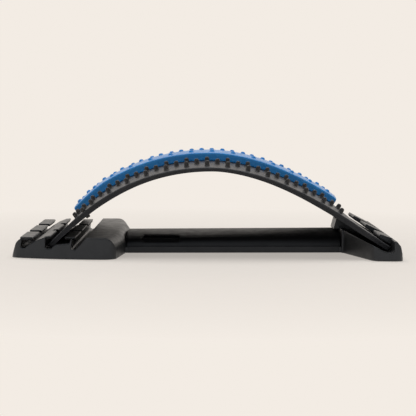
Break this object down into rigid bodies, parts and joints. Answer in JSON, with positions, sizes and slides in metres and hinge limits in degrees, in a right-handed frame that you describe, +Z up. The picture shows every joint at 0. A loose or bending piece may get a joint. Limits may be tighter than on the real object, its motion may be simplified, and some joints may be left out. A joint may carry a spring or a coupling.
{
  "type": "arched back stretcher",
  "caption": "Free-standing back stretcher: a springy arched plate with massage nubs and a soft centre pad, held in a slotted foot and a pocket foot joined by a low bar.",
  "frame": {"origin": "on the floor below the middle of the whole object", "axes": "+X along the length from the slotted foot to the pocket foot, +Y across, away from the side with the edge stud, +Z up"},
  "size_m": [0.3954, 0.25, 0.1092],
  "materials": {
    "black_shell": "satin",
    "black_tray": "satin",
    "grey_plate": "satin with fine cross lines",
    "dark_stud": "satin",
    "blue_foam": "soft closed-cell foam skin",
    "black_rubber": "matte",
    "steel": "zinc plated"
  },
  "bodies": {
    "base": {"left_foot": "black_shell", "right_foot": "black_shell", "bar_shell": "black_shell", "bar_tray": "black_tray", "plate_heel": "grey_plate", "rubber_foot_1": "black_rubber", "rubber_foot_2": "black_rubber", "rubber_foot_3": "black_rubber", "rubber_foot_4": "black_rubber", "rubber_foot_5": "black_rubber", "rubber_foot_6": "black_rubber", "tongue_screw_1": "steel", "tongue_screw_2": "steel", "tongue_screw_3": "steel", "tongue_screw_4": "steel", "tray_screw_1": "steel", "tray_screw_2": "steel", "tray_screw_3": "steel", "tray_screw_4": "steel"},
    "arch_right": {"plate_right": "grey_plate", "pad_right": "blue_foam"},
    "arch_left": {"plate_left": "grey_plate", "pad_left": "blue_foam", "edge_stud": "dark_stud"}
  },
  "joints": [
    {"name": "arch_lift", "type": "hinge", "parent": "base", "child": "arch_right", "pos_m": [0.1606, 0, 0.031], "axis": [0, 1, 0], "range_deg": [0, 9], "stiffness_Nm_per_rad": 25, "springref_deg": -5.73},
    {"name": "arch_flex", "type": "hinge", "parent": "arch_right", "child": "arch_left", "pos_m": [0.006, 0, 0.0889], "axis": [0, -1, 0], "range_deg": [0, 12.8]}
  ],
  "couplings": [
    {"joint": "arch_flex", "follows": "arch_lift", "ratio": 1.42}
  ]
}
